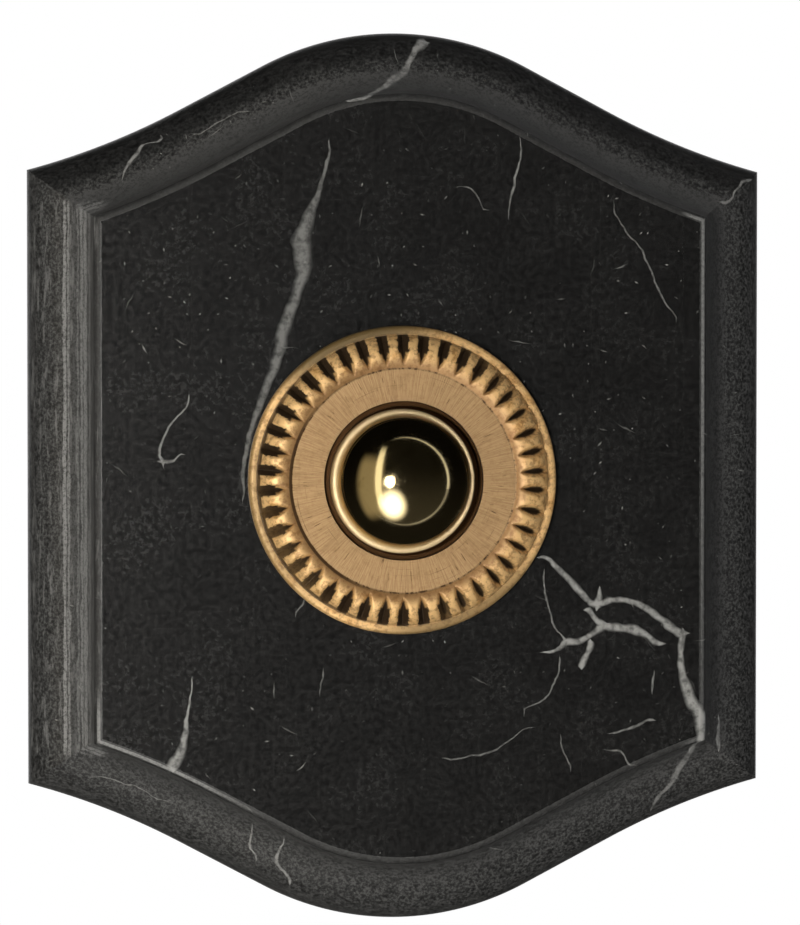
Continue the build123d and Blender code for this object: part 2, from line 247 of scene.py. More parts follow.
def makeVeinLine():  # one vein, added to those before: middle and half width come from its own curves
    names = ("Across", "Middle", "Half Width", "Strength", "Before")
    tree, given, put = startGroup("vein line", [(name, "Float") for name in names], [("Mask", "Float")])
    core, edge, least = 0.3, 1.2, 0.00001
    gap = addMath(tree, "ABSOLUTE", addMath(tree, "SUBTRACT", given["Across"], given["Middle"]))
    share = addMath(tree, "DIVIDE", gap, larger(tree, given["Half Width"], least))
    mask = multiply(tree, addRange(tree, share, edge, core), given["Strength"])
    plug(tree, larger(tree, mask, given["Before"]), put["Mask"])
    return tree


def makeFlecks():  # short pale dashes, one in some of the cells, each at its own angle
    names = ("Cell Size", "Length", "Width", "Share")
    inputs = [("Point", "Vector")] + [(name, "Float") for name in names]
    tree, given, put = startGroup("stone flecks", inputs, [("Mask", "Float")])
    shortest, faintest, reshuffle = 0.2, 0.25, 37.0
    inverse = addMath(tree, "DIVIDE", 1.0, given["Cell Size"])
    cells = addNode(tree, "TexVoronoi", {"Vector": given["Point"], "Scale": inverse},
                    voronoi_dimensions="2D").outputs
    away = addVector(tree, "SUBTRACT", given["Point"], cells["Position"])
    draw = addNode(tree, "SeparateColor", {0: cells["Color"]}).outputs
    angle = multiply(tree, draw["Red"], 2 * pi)
    turned = addNode(tree, "VectorRotate", {"Vector": away, "Angle": angle}, rotation_type="Z_AXIS")
    parts = splitAxes(tree, turned.outputs["Vector"])
    reach = multiply(tree, given["Length"], addMath(tree, "ADD", draw["Blue"], shortest))
    across = addMath(tree, "DIVIDE", addMath(tree, "ABSOLUTE", parts["X"]), given["Width"])
    along = addMath(tree, "DIVIDE", addMath(tree, "ABSOLUTE", parts["Y"]), reach)
    shape = addRange(tree, addMath(tree, "ADD", across, along), 1.0, 0.35)
    kept = addMath(tree, "LESS_THAN", draw["Green"], given["Share"])
    second = addMath(tree, "FRACT", multiply(tree, draw["Green"], reshuffle))  # another draw for the cell
    faint = addRange(tree, second, 0.0, 1.0, faintest, 1.0)
    plug(tree, multiply(tree, multiply(tree, shape, kept), faint), put["Mask"])
    return tree


turningMarks = makeTurningMarks()
tarnish = makeTarnish()
veinLine = makeVeinLine()
stoneFlecks = makeFlecks()


def markLines(tree, point, scales):  # scales along the radius and round the axis
    inputs = {"Point": point, "Along Radius": scales[0], "Round Axis": scales[1]}
    return useGroup(tree, turningMarks, inputs)["Marks"]


def tarnishMask(tree, point, scale, share):
    return useGroup(tree, tarnish, {"Point": point, "Scale": scale, "Share": share})["Mask"]


def fleckDashes(tree, along, up, size):  # along and up are the two ways across the stone
    flat = addNode(tree, "CombineXYZ", {"X": along, "Y": up}).outputs[0]
    return useGroup(tree, stoneFlecks, {"Point": flat, **size})["Mask"]


print("shared effects made")


# marble plate

stone = dict(
    width=78.0, height=94.4, thickness=20.0,
    crown=29.7, slopeAngle=28.0, slopeRun=9.1, hollow=76.8,  # outline of the top and bottom
    border=7.8, ogeeAngle=25.0, ogeeRound=6.4, quirk=0.4, arris=0.7, flatRing=0.25, backChamfer=0.6,
    pocket=21.0, pocketFloor=13.0, bore=9.3, stud=2.75, studDepth=10.0, studHeight=32.0,
    sawnBack=0.5, sawnFloors=15.0,  # depths up to which the back, and floors facing it, are sawn
    crownSteps=22, slopeSteps=6, hollowSteps=14, sideSteps=22, arcSteps=9, arrisSteps=5, studSides=40,
    sharp=32,  # edges over this many degrees stay sharp
)


def stoneQuarter(inset):  # top right quarter of the outline, moved in by inset, from the crown to mid side
    slope = radians(stone["slopeAngle"])
    crown, run, hollow = stone["crown"], stone["slopeRun"], stone["hollow"]
    crownZ = stone["height"] / 2 - crown
    path = []
    for i in range(stone["crownSteps"]):
        turn = slope * i / stone["crownSteps"]
        path.append(((crown - inset) * sin(turn), crownZ + (crown - inset) * cos(turn)))
    start = (crown * sin(slope), crownZ + crown * cos(slope))
    for i in range(stone["slopeSteps"]):
        along = run * i / stone["slopeSteps"]
        x, z = start[0] + along, start[1] - along * tan(slope)
        path.append((x - inset * sin(slope), z - inset * cos(slope)))
    centre = (start[0] + run + hollow * sin(slope), start[1] - run * tan(slope) + hollow * cos(slope))
    side = stone["width"] / 2 - inset
    radius = hollow + inset
    last = asin((centre[0] - side) / radius)
    for i in range(stone["hollowSteps"] + 1):
        turn = slope + (last - slope) * i / stone["hollowSteps"]
        path.append((centre[0] - radius * sin(turn), centre[1] - radius * cos(turn)))
    corner = path[-1][1]
    for i in range(1, stone["sideSteps"] + 1):
        path.append((side, corner * (1 - i / stone["sideSteps"])))
    return path


def stoneLoop(inset):  # whole outline, clockwise from the crown
    quarter = stoneQuarter(inset)
    right = quarter + [(x, -z) for x, z in reversed(quarter[:-1])]
    return right + [(-x, z) for x, z in reversed(right[1:-1])]


def stoneProfile():  # (inset, depth) of the edge from the back to the field
    angle, swell, arris, steps = stone["ogeeAngle"], stone["ogeeRound"], stone["arris"], stone["arcSteps"]
    border, thickness, chamfer = stone["border"], stone["thickness"], stone["backChamfer"]
    quirkAt = border - arris
    hollow = quirkAt / (1 - sin(radians(angle))) - swell
    top = thickness - arris - stone["quirk"]
    low = top - (hollow + swell) * cos(radians(angle))
    rounded = arcPoints((swell, low), swell, 180, 90 + angle, steps)
    hollowed = arcPoints((quirkAt - hollow, top), hollow, angle - 90, 0, steps)
    eased = arcPoints((border, thickness - arris), arris, 180, 90, stone["arrisSteps"])
    flat = (border + stone["flatRing"], thickness)  # keeps the field shading flat
    return [(chamfer, 0), (0, chamfer)] + rounded + hollowed[1:] + eased + [flat]


def buildStone():
    bm = bmesh.new()
    layer = bm.verts.layers.float.new("inset")  # mm in from the outline, read by the material
    rings = []
    for inset, depth in stoneProfile():
        rings.append([bm.verts.new(framePoint(x, depth, z)) for x, z in stoneLoop(inset)])
        for vert in rings[-1]:
            vert[layer] = inset
    angles = [atan2(x, z) for x, z in stoneLoop(stone["border"] + stone["flatRing"])]
    boreFront = turnedRing(bm, stone["bore"], stone["thickness"], angles)
    for vert in boreFront:
        vert[layer] = stone["width"] / 2 - stone["bore"]
    boreBack = turnedRing(bm, stone["bore"], stone["pocketFloor"], angles)
    pocketFloor = turnedRing(bm, stone["pocket"], stone["pocketFloor"], angles)
    pocketMouth = turnedRing(bm, stone["pocket"], 0, angles)
    joinRings(bm, rings + [boreFront, boreBack, pocketFloor, pocketMouth])
    rims = [rings[0], pocketMouth]
    for height in (stone["studHeight"], -stone["studHeight"]):
        studMouth = turnedRing(bm, stone["stud"], 0, evenAngles(stone["studSides"]), height)
        studFloor = turnedRing(bm, stone["stud"], stone["studDepth"], evenAngles(stone["studSides"]), height)
        joinRings(bm, [studMouth, studFloor])
        bm.faces.new(studFloor)
        rims.append(studMouth)
    edges = []
    for rim in rims:
        for pair in zip(rim, rim[1:] + rim[:1]):
            edges.append(bm.edges.get(pair) or bm.edges.new(pair))
    bmesh.ops.triangle_fill(bm, use_beauty=True, edges=edges)
    piece = finishMesh("stone_plate", bm, stone["sharp"])
    settle(piece, "plate", "marble_plate")
    return piece


stoneLook = dict(
    # the dust grey is dust and painted sheen on the moulding; the worn grey is painted highlight
    black=(0.0055, 0.0055, 0.0056, 1), cloud=(0.021, 0.021, 0.0208, 1), dustSheenGrey=(0.066, 0.066, 0.065, 1),
    worn=(0.19, 0.19, 0.186, 1), vein=(0.27, 0.27, 0.26, 1), fleck=(0.2, 0.2, 0.19, 1),
    sawn=(0.045, 0.045, 0.046, 1),
    polish=0.165, moulding=0.38, arris=0.62,  # roughness
    bendScale=0.55, wobble=0.7, breakScale=1.1, cloudy=0.55, boldWidth=0.3, boldPower=0.6, tip=0.4,  # veins
    grainScale=1.7, speckScale=3.4, cloudScale=0.16, patchScale=0.07, streakScale=1.5, streakStretch=0.18,
    grainSpan=(0.3, 0.72), speckSpan=(0.38, 0.56),
    longFlecks={"Cell Size": 4.4, "Length": 1.3, "Width": 0.1, "Share": 0.26},
    smallFlecks={"Cell Size": 1.7, "Length": 0.3, "Width": 0.11, "Share": 0.3},
    sawnFlecks={"Cell Size": 3.6, "Length": 0.7, "Width": 0.16, "Share": 0.4},
    fleckInset=(1.0, 3.0), shadedTopInset=(4.4, 2.0), sheenInsets=(4.6, 7.3),
    # painted highlights: lines down the left of the moulding and along the field's edge
    highlightInsets=[((3.9, 4.12), 1.0), ((4.36, 4.5), 0.8), ((5.36, 5.44), 0.6), ((5.75, 5.9), 0.85),
               ((6.1, 6.32), 0.85), ((6.58, 6.66), 0.5)],  # inset, strength
    highlightSide=(-30.0, -31.5), highlightReach=(-28.8, 28.8), highlightArris=(7.42, 7.66), lineSoft=0.1,
    rightHighlight=dict(x=(29.0, 30.5), z=(-25.0, 18.0)), lowHighlight=dict(x=(-13.0, -23.0), z=(-21.0, -25.0)),
)

# white veins: (x, z, half width) in mm along each, listed one by one
stoneVeins = [
    [(3.0, 45.9, 0.45), (0.7, 42.9, 0.5), (-1.6, 41.1, 0.3), (-5.5, 39.3, 0.1)],
    [(14.5, -8.1, 0.15), (16.9, -9.9, 0.35), (18.8, -11.8, 0.4), (20.0, -13.0, 0.4), (22.1, -12.5, 0.3),
     (25.7, -13.5, 0.35), (28.1, -15.4, 0.45), (29.6, -16.1, 0.4)],
    [(29.4, -16.0, 0.35), (29.2, -18.5, 0.35), (29.6, -21.0, 0.5), (30.4, -23.4, 0.75), (31.4, -25.3, 0.8),
     (31.3, -27.6, 0.4), (30.9, -28.6, 0.2)],
    [(20.4, -13.2, 0.55), (20.7, -11.6, 0.2)],
    [(19.3, -13.6, 0.2), (20.1, -14.3, 0.42), (21.1, -15.1, 0.4)],
    [(20.9, -15.4, 0.4), (23.5, -15.5, 0.42), (25.0, -16.0, 0.42), (26.1, -16.7, 0.42), (27.1, -17.2, 0.25)],
    [(21.0, -15.4, 0.4), (19.0, -16.7, 0.35), (17.1, -17.0, 0.35), (15.0, -18.1, 0.1)],
    [(19.8, -17.0, 0.35), (18.8, -19.5, 0.4)],
    [(14.8, -9.7, 0.1), (16.0, -15.4, 0.1), (17.1, -17.0, 0.15)],
    [(16.5, -18.8, 0.12), (15.6, -22.0, 0.1), (14.1, -23.4, 0.1), (12.7, -24.1, 0.06)],
    [(4.5, -29.0, 0.08), (7.5, -28.8, 0.1), (9.6, -28.2, 0.1), (11.1, -27.2, 0.08), (13.5, -25.8, 0.05)],
    [(-21.8, -20.7, 0.05), (-22.4, -24.8, 0.2), (-22.7, -27.2, 0.42), (-23.3, -28.8, 0.65),
     (-23.8, -29.7, 0.7)],
    [(-32.4, -31.4, 0.05), (-28.0, -32.3, 0.09), (-24.2, -33.9, 0.05)],
    [(-22.1, 8.5, 0.08), (-24.2, 5.4, 0.12), (-25.1, 2.6, 0.2), (-24.7, 1.8, 0.25)],
    [(-24.9, 1.9, 0.2), (-23.5, 2.1, 0.15), (-22.9, 2.7, 0.06)],
    [(-15.8, 38.6, 0.08), (-19.1, 37.2, 0.1), (-21.4, 36.1, 0.06)],
    [(-24.8, 35.7, 0.08), (-26.6, 35.1, 0.12), (-27.4, 34.1, 0.25), (-28.8, 31.7, 0.08)],
    [(-15.4, -36.6, 0.1), (-15.7, -38.6, 0.15), (-15.0, -40.2, 0.08)],
    [(-12.1, -38.0, 0.08), (-12.8, -40.2, 0.25), (-11.3, -42.8, 0.15)],
    [(22.1, 28.5, 0.06), (23.6, 25.5, 0.1), (25.2, 23.6, 0.1), (26.3, 21.0, 0.1), (27.8, 17.9, 0.1),
     (28.6, 16.8, 0.05)],
    [(12.4, 35.3, 0.06), (11.7, 30.9, 0.18), (11.1, 27.5, 0.05)],
    [(6.1, 30.4, 0.06), (8.0, 29.4, 0.1), (8.6, 28.1, 0.05)],
    [(-8.6, -22.0, 0.06), (-8.1, -20.1, 0.1)],
    [(-11.0, -13.9, 0.05), (-10.3, -12.6, 0.1)],
    [(22.0, -26.5, 0.1), (24.8, -25.7, 0.16), (26.1, -25.1, 0.14)],
    [(26.4, -20.4, 0.1), (26.2, -21.9, 0.14)],
    [(21.6, -28.2, 0.06), (22.9, -28.4, 0.12), (24.1, -29.9, 0.1)],
    [(16.6, -27.0, 0.06), (17.1, -28.7, 0.1), (17.7, -30.1, 0.08)],
    [(34.1, -25.4, 0.12), (34.0, -28.6, 0.3)],
    [(34.3, 29.1, 0.16), (37.6, 31.5, 0.16)],
]
cloudyVeins = [  # the fainter ones
    [(-7.5, 35.0, 0.08), (-8.6, 29.9, 0.28), (-9.9, 26.6, 0.7), (-10.5, 24.7, 1.0), (-10.2, 22.4, 0.9),
     (-10.9, 19.5, 0.6), (-12.2, 15.8, 0.65), (-13.1, 12.2, 0.55), (-14.5, 8.5, 0.4), (-15.7, 4.9, 0.28),
     (-16.5, 0.2, 0.2), (-16.5, -1.9, 0.08)],
    [(31.2, -28.2, 0.3), (30.2, -30.0, 0.4), (28.7, -33.1, 0.3), (27.2, -35.3, 0.12)],
]


def addVein(tree, vein, across, along, before, full):  # curves run in shares of the plate's height
    look, span = stoneLook, stone["height"]
    tall = abs(vein[-1][1] - vein[0][1]) > abs(vein[-1][0] - vein[0][0])
    run = sorted(((z, x, half) if tall else (x, z, half)) for x, z, half in vein)
    middle, width = addNode(tree, "FloatCurve"), addNode(tree, "FloatCurve")
    middleCurve, widthCurve = middle.mapping.curves[0], width.mapping.curves[0]
    middleCurve.points[0].location = (0, run[0][1] / span + 0.5)
    middleCurve.points[1].location = (1, run[-1][1] / span + 0.5)
    widthCurve.points[0].location = (0, 0)
    widthCurve.points[1].location = (1, 0)
    for i, (at, side, half) in enumerate(run):
        last, following = run[max(i - 1, 0)], run[min(i + 1, len(run) - 1)]
        lean = (following[1] - last[1]) / (following[0] - last[0])
        middleCurve.points.new(at / span + 0.5, side / span + 0.5)
        widthCurve.points.new(at / span + 0.5, half * (1 + lean * lean) ** 0.5 / span)
    for at in (run[0][0] - look["tip"], run[-1][0] + look["tip"]):
        widthCurve.points.new(at / span + 0.5, 0)
    for curve, handle in ((middleCurve, "AUTO_CLAMPED"), (widthCurve, "VECTOR")):
        for knot in curve.points:
            knot.handle_type = handle
    for curveNode in (middle, width):
        curveNode.mapping.update()
        plug(tree, along if tall else across, curveNode.inputs["Value"])
    widest = max(half for at, side, half in run)
    strength = full * min(1, widest / look["boldWidth"]) ** look["boldPower"]
    inputs = {"Across": across if tall else along, "Middle": middle.outputs[0],
              "Half Width": width.outputs[0], "Strength": strength, "Before": before}
    return useGroup(tree, veinLine, inputs)["Mask"]


def bentAxes(tree, point):  # lets the veins and flecks wander a little
    noise = addNode(tree, "TexNoise", {"Vector": point, "Scale": stoneLook["bendScale"], "Detail": 2.0})
    bend = addVector(tree, "SUBTRACT", noise.outputs["Color"], (0.5, 0.5, 0.5))
    bend = addNode(tree, "VectorMath", {0: bend, "Scale": stoneLook["wobble"]}, operation="SCALE")
    return splitAxes(tree, addVector(tree, "ADD", point, bend.outputs["Vector"]))


def veinMask(tree, point, bent):
    look = stoneLook
    across = multiplyAdd(tree, bent["X"], 1 / stone["height"], 0.5)
    along = multiplyAdd(tree, bent["Z"], 1 / stone["height"], 0.5)
    veins = 0.0
    for rows, full in ((stoneVeins, 1.0), (cloudyVeins, look["cloudy"])):
        for vein in rows:
            veins = addVein(tree, vein, across, along, veins, full)
    broken = addRange(tree, addNoise(tree, point, look["breakScale"], 3.0, 0.65), 0.3, 0.62, 0.3, 1.0)
    return multiply(tree, veins, broken)


def fleckMask(tree, point, bent, inset):
    look = stoneLook
    flecks = larger(tree, fleckDashes(tree, bent["X"], bent["Z"], look["longFlecks"]),
                    fleckDashes(tree, bent["X"], bent["Z"], look["smallFlecks"]))
    patchy = addRange(tree, addNoise(tree, point, look["patchScale"], 1.0), 0.42, 0.62, 0.12, 1.0)
    patchy = multiply(tree, patchy, addRange(tree, inset, *look["fleckInset"]))  # none down the sides
    return multiply(tree, flecks, patchy)


# dust on the moulding, with painted shade on the outer top and a painted sheen in the hollow, lighter where
# it faces up
def dustAndSheenMask(tree, inset, onArris, grain, speck):
    look = stoneLook
    up = splitAxes(tree, addNode(tree, "TexCoord").outputs["Normal"])["Z"]
    # painted shade: less of the pale grey on the outer top
    shadedOuterTop = multiply(tree, addRange(tree, up, 0.1, 0.6), addRange(tree, inset, *look["shadedTopInset"]))
    dustAndSheen = multiply(tree, addRange(tree, grain, *look["grainSpan"], 0.2, 0.8),
                     addRange(tree, shadedOuterTop, 0.0, 1.0, 1.0, 0.25))
    dustAndSheen = multiply(tree, dustAndSheen, addRange(tree, speck, 0.36, 0.64, 0.25, 1.6))
    ragged = multiplyAdd(tree, grain, 0.9, addMath(tree, "SUBTRACT", inset, 0.45))
    facing = addRange(tree, up, -0.3, 0.3, 0.15, 0.45)  # painted light from above: less where it faces down
    hollowSheen = multiply(tree, addBand(tree, ragged, look["sheenInsets"], 0.8), facing)  # painted sheen in the hollow
    return multiply(tree, addMath(tree, "ADD", dustAndSheen, hollowSheen), addRange(tree, onArris, 0.0, 1.0, 1.0, 0.3))


def paintedHighlightLines(tree, point, inset, border, speck):  # painted highlight lines down the lit left side of the moulding, and a painted highlight along the field's edge at the right and lower left
    look = stoneLook
    place = splitAxes(tree, point)
    left = multiply(tree, addRange(tree, place["X"], *look["highlightSide"]), border)
    stretched = addVector(tree, "MULTIPLY", point, (1, 1, look["streakStretch"]))
    streaks = addNoise(tree, stretched, look["streakScale"], 3.0, 0.7)
    lineAt = multiplyAdd(tree, streaks, 0.7, addMath(tree, "SUBTRACT", inset, 0.35))
    reach = addBand(tree, place["Z"], look["highlightReach"], 0.5)
    # painted highlight streaks down the left
    worn = multiply(tree, addRange(tree, streaks, 0.5, 0.7, 0.0, 0.5), reach)
    speckled = multiply(tree, addRange(tree, speck, *look["speckSpan"], 0.45, 1.0), reach)
    for ends, strength in look["highlightInsets"]:
        line = multiply(tree, addBand(tree, lineAt, ends, look["lineSoft"]), speckled)
        worn = larger(tree, worn, multiply(tree, line, strength))
    # painted highlight on the arris of the field at the right and lower left
    rightEdge = multiply(tree, addRange(tree, place["X"], *look["rightHighlight"]["x"]),
                         addRange(tree, place["Z"], *look["rightHighlight"]["z"], 0.3, 0.9))
    lowEdge = multiply(tree, addRange(tree, place["X"], *look["lowHighlight"]["x"]),
                       addRange(tree, place["Z"], *look["lowHighlight"]["z"]))
    edge = multiply(tree, addBand(tree, inset, look["highlightArris"], look["lineSoft"]),
                    addRange(tree, speck, *look["speckSpan"], 0.6, 1.0))
    edge = multiply(tree, edge, larger(tree, rightEdge, lowEdge))
    return larger(tree, multiply(tree, worn, left), edge)


def polishedStone():
    look = stoneLook
    material, tree, shader, point = startMaterial("polished black marble")
    inset = readLayer(tree, "inset")
    border = addRange(tree, inset, stone["border"] + 0.15, stone["border"] - 0.02)  # 0 on the field
    onArris = addBand(tree, inset, (stone["border"] - stone["arris"], stone["border"]), 0.1)
    grain = addNoise(tree, point, look["grainScale"], 4.0, 0.72)
    speck = addNoise(tree, point, look["speckScale"], 3.0, 0.7)
    bent = bentAxes(tree, point)
    cloud = addRange(tree, addNoise(tree, point, look["cloudScale"], 3.0, 0.65), 0.35, 0.75, 0.35, 1.0)
    cloud = multiply(tree, cloud, addRange(tree, grain, *look["grainSpan"]))
    # dust and painted sheen on the moulding
    dustAndSheen = multiply(tree, border, dustAndSheenMask(tree, inset, onArris, grain, speck))
    base = addMix(tree, cloud, look["black"], look["cloud"])
    base = addMix(tree, dustAndSheen, base, look["dustSheenGrey"])
    # painted highlights in the pale worn grey
    base = addMix(tree, paintedHighlightLines(tree, point, inset, border, speck), base, look["worn"])
    base = addMix(tree, fleckMask(tree, point, bent, inset), base, look["fleck"])
    base = addMix(tree, veinMask(tree, point, bent), base, look["vein"])
    field = addRange(tree, grain, 0.3, 0.7, look["polish"] - 0.03, look["polish"] + 0.06)
    rough = multiplyAdd(tree, border, look["moulding"] - look["polish"], field)
    rough = multiplyAdd(tree, onArris, look["arris"] - look["moulding"], rough)
    dress(tree, shader, base, rough)
    addBump(tree, shader, grain, 0.06)
    return material


def sawnStone():
    look = stoneLook
    material, tree, shader, point = startMaterial("sawn black marble")
    sawMarks = {"Vector": point, "Scale": 0.35, "Distortion": 1.6, "Detail": 2.0, "Detail Scale": 0.6}
    lines = addNode(tree, "TexWave", sawMarks, bands_direction="Z").outputs["Fac"]
    grain = addNoise(tree, point, 2.2, 5.0, 0.7)
    place = splitAxes(tree, point)
    flecks = fleckDashes(tree, place["X"], place["Z"], look["sawnFlecks"])
    striped = addRange(tree, lines, 0.0, 1.0, 0.75, 1.0)
    pale = multiply(tree, addRange(tree, grain, 0.3, 0.75, 0.2, 1.0), striped)
    base = addMix(tree, flecks, addMix(tree, pale, look["cloud"], look["sawn"]), look["fleck"])
    dress(tree, shader, base, addRange(tree, grain, 0.3, 0.7, 0.62, 0.8))
    addBump(tree, shader, addMath(tree, "ADD", grain, multiply(tree, lines, 0.4)), 0.35)
    return material


def markSawn(piece):  # back, pocket and stud holes are sawn or drilled
    hair = 0.01
    for face in piece.data.polygons:
        depth = -face.center.y / mm
        fromAxis = Vector((face.center.x, face.center.z)).length / mm
        drilled = fromAxis < stone["pocket"] + hair and depth < stone["thickness"] - hair
        onFloor = abs(face.normal.y) > 0.99 and depth < stone["sawnFloors"]
        face.material_index = 1 if depth < stone["sawnBack"] or drilled or onFloor else 0


stonePlate = buildStone()
stonePlate.data.materials.append(polishedStone())
stonePlate.data.materials.append(sawnStone())
markSawn(stonePlate)
print("marble plate made,", len(stonePlate.data.polygons), "faces")


# brass rose

rose = dict(
    radius=16.0, back=20.0, rimTop=21.2, rimRound=0.5, land=0.9,
    lobes=42, lobeWidth=3.5, bulge=1.2, fluteAngle=70.0, fluteTilt=6.0,  # gadroons
    ring=23.0, grooveWidth=0.5, grooveDepth=0.6, beadWidth=1.2, beadTop=23.75,
    lip=6.5, lipBack=22.25, bore=7.5, socketTop=21.6, socket=9.05,
    gasketIn=10.0, gasketOut=14.2, gasketTop=20.5,
    ease=0.05, footGap=0.08, ringGap=0.06,  # small steps that keep the edges crisp
    perLobe=20, lobeSteps=26, rimSteps=5, beadSteps=12, sharp=40,
    soften=0.06, unevenness=0.05, seed=11,
)
lobeFoot = rose["radius"] - rose["land"]
lobeInner = lobeFoot - rose["lobeWidth"]
beadOut = rose["lip"] + rose["beadWidth"]
grooveOut = beadOut + rose["grooveWidth"]


def gadroonArc():  # (radius, depth) points over the shoulder, outside to inside
    foot = Vector((lobeFoot, rose["rimTop"]))
    end = Vector((lobeInner, rose["ring"]))
    half = (end - foot).length / 2
    radius = half * half / (2 * rose["bulge"]) + rose["bulge"] / 2
    along = (end - foot).normalized()
    centre = (foot + end) / 2 - Vector((along.y, -along.x)) * (radius - rose["bulge"])
    start = atan2(foot.y - centre.y, foot.x - centre.x)
    stop = atan2(end.y - centre.y, end.x - centre.x)
    turns = np.linspace(start, stop, rose["lobeSteps"] + 1)
    return [centre + radius * Vector((cos(turn), sin(turn))) for turn in turns]


def roseOutside():  # (radius, depth) from the gasket's seat round to the foot of the lobes
    rimMiddle = (rose["radius"] - rose["rimRound"], rose["rimTop"] - rose["rimRound"])
    path = [(rose["gasketOut"], rose["gasketTop"]), (rose["gasketOut"], rose["back"]),
            (rose["radius"], rose["back"])]
    path += arcPoints(rimMiddle, rose["rimRound"], 0, 90, rose["rimSteps"])
    return path + [(lobeFoot + rose["footGap"], rose["rimTop"])]


def roseInside():  # from the flat ring over the groove and the bead, and back to the gasket's seat
    ring, ease, half = rose["ring"], rose["ease"], rose["beadWidth"] / 2
    grooveFloor = ring - rose["grooveDepth"]
    path = [(lobeInner - rose["ringGap"], ring), (grooveOut + ease, ring), (grooveOut, ring - ease),
            (grooveOut, grooveFloor + ease), (grooveOut - ease, grooveFloor), (beadOut, grooveFloor)]
    path += arcPoints((rose["lip"] + half, rose["beadTop"] - half), half, 0, 180, rose["beadSteps"])
    return path + [(rose["lip"], rose["lipBack"]), (rose["bore"], rose["lipBack"]),
                   (rose["bore"], rose["socketTop"]), (rose["socket"], rose["socketTop"]),
                   (rose["socket"], rose["back"]), (rose["gasketIn"], rose["back"]),
                   (rose["gasketIn"], rose["gasketTop"])]


def buildRose():
    arc = gadroonArc()
    segments = rose["lobes"] * rose["perLobe"]
    angle = np.arange(segments) * 2 * pi / segments
    pitch = 2 * pi / rose["lobes"]
    draw = np.random.RandomState(rose["seed"])
    nearest = np.rint(angle / pitch).astype(int) % rose["lobes"]
    drift = draw.uniform(-1, 1, rose["lobes"])[nearest] * rose["unevenness"] * pitch
    openness = 1 + draw.uniform(-1, 1, rose["lobes"])[nearest] * 2 * rose["unevenness"]
    offset = np.abs((angle - drift + pitch / 2) % pitch - pitch / 2)  # from the nearest flute
    valley = 1 - 2 * offset / pitch  # 1 along the middle of a flute, 0 along the middle of a lobe
    tilt = atan2(arc[-1].y - arc[0].y, arc[-1].x - arc[0].x) - radians(rose["fluteTilt"])
    out, up = sin(tilt), -cos(tilt)  # square to the floor of the flutes
    steep = tan(radians(rose["fluteAngle"] / 2))
    profile = [(x, y, False) for x, y in roseOutside()]
    profile += [(x, y, True) for x, y in arc]
    profile += [(x, y, False) for x, y in roseInside()]
    bm = bmesh.new()
    fluteLayer, valleyLayer = bm.verts.layers.float.new("flute"), bm.verts.layers.float.new("valley")
    rings = []
    for x, y, onLobe in profile:
        cut = np.zeros(segments)
        if onLobe:
            height = (x - lobeFoot) * out + (y - rose["rimTop"]) * up
            allowed = offset * x / steep / openness
            soft = -rose["soften"] * np.logaddexp(-height / rose["soften"], -allowed / rose["soften"])
            cut = np.clip(height - soft, 0, None) * (height > 0)
        ring = []
        for a, taken, low in zip(angle, cut, valley):
            radius = x - taken * out
            vert = bm.verts.new(framePoint(radius * sin(a), y - taken * up, radius * cos(a)))
            vert[fluteLayer], vert[valleyLayer] = taken, low
            ring.append(vert)
        rings.append(ring)
    joinRings(bm, rings + rings[:1])
    piece = finishMesh("gadrooned_rose", bm, rose["sharp"])
    settle(piece, "plate", "rose")
    return piece


roseLook = dict(
    gold=(0.74, 0.47, 0.2, 1), amber=(0.62, 0.34, 0.11, 1), satin=(0.48, 0.318, 0.168, 1),
    satinDark=(0.31, 0.195, 0.097, 1), bead=(0.68, 0.53, 0.32, 1), brown=(0.2, 0.095, 0.034, 1),
    grimeAndShadow=(0.020, 0.011, 0.006, 1), groove=(0.065, 0.032, 0.013, 1), olive=(0.15, 0.098, 0.036, 1),
    lobeRough=0.42, ringRough=0.56, beadRough=0.52, rimRough=0.54, lobeMetal=0.35,
    rays=(0.35, 110.0), scores=(0.5, 46.0), rings=(6.0, 1.3),  # marks on the flat ring
    dirtDepth=(0.3, 0.7), blockValley=(0.45, 0.56), block=(-1.7, -0.1),  # dirt in the flutes
    left=(-0.96, 0, -0.28), right=(0.98, 0, -0.17), lowLeft=(-0.86, 0, -0.5),
    seam=(-0.05, 0.06), innerLine=(-0.02, 0.22), footShadow=(-0.24, 0.04),  # dark lines at the lobes' ends; the one at their foot is a painted shadow
    stale=(1.7, 0.3), shadedFlank=(0.86, 1.0),
    # the first patch paints shade on the top of the rim
    rimPatches=[((-0.34, 0, 0.94), (11.5, 15.3), 1.0), ((0.42, 0, -0.91), (11.5, 15.3), 0.75),
            ((-0.97, 0, -0.26), (10.0, 15.5), 0.6)],  # which way, from and to in mm, share
)


def lineRound(tree, radius, middle, ends, soft):  # a line round the axis, its ends in mm from a radius
    return addBand(tree, radius, (middle + ends[0], middle + ends[1]), soft)


def satinBrass(tree, point, rays, blot):
    look = roseLook
    base = addMix(tree, addRange(tree, rays, 0.36, 0.66, 0.0, 0.75), look["satin"], look["satinDark"])
    base = addMix(tree, multiply(tree, blot, 0.3), base, look["satinDark"])
    scores, rings = markLines(tree, point, look["scores"]), markLines(tree, point, look["rings"])
    base = addMix(tree, addRange(tree, scores, 0.62, 0.72, 0.0, 0.8), base, look["groove"])
    return addMix(tree, addRange(tree, rings, 0.63, 0.72, 0.0, 0.55), base, look["groove"])


def lobeBrass(tree, radius, blot, spots):
    look = roseLook
    base = addMix(tree, blot, look["gold"], look["amber"])
    base = addMix(tree, multiply(tree, spots, 0.6), base, look["brown"])
    stale = addRange(tree, radius, lobeInner + look["stale"][0], lobeInner + look["stale"][1], 0.0, 0.75)
    return addMix(tree, stale, base, look["brown"])  # duller towards the flat ring


